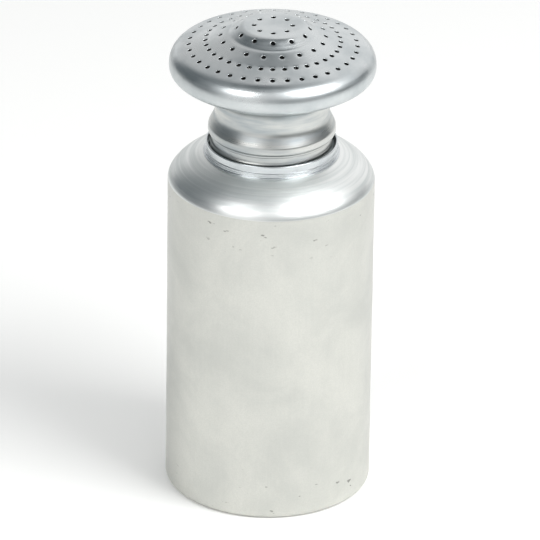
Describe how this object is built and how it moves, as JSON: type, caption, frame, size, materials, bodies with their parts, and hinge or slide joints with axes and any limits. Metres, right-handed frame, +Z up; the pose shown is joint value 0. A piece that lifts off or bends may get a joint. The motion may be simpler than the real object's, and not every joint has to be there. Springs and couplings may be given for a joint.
{
  "type": "spice shaker with mushroom top",
  "caption": "Aluminium can with a sloped shoulder and a lift-off mushroom top whose stepped, punched dome sifts dry spice, sugar or flour.",
  "frame": {"origin": "centre of the base, on the surface that the shaker stands on", "axes": "+Z up along the shaker's axis, through the middle of the dome; -Y is the front, the side that the picture shows, and +X is to the right of it"},
  "size_m": [0.08, 0.08, 0.1926],
  "materials": {
    "container": "satin spun wall, burnished shoulder",
    "mouth_ring": "bright rolled",
    "top_neck": "burnished",
    "sieve_dome": "bright stamped"
  },
  "bodies": {
    "container": {"container": "container", "mouth_ring": "mouth_ring"},
    "top": {"top_neck": "top_neck", "sieve_dome": "sieve_dome"}
  },
  "joints": [
    {"name": "top_lift", "type": "slide", "parent": "container", "child": "top", "axis": [0, 0, 1], "range_m": [0, 0.07]}
  ]
}
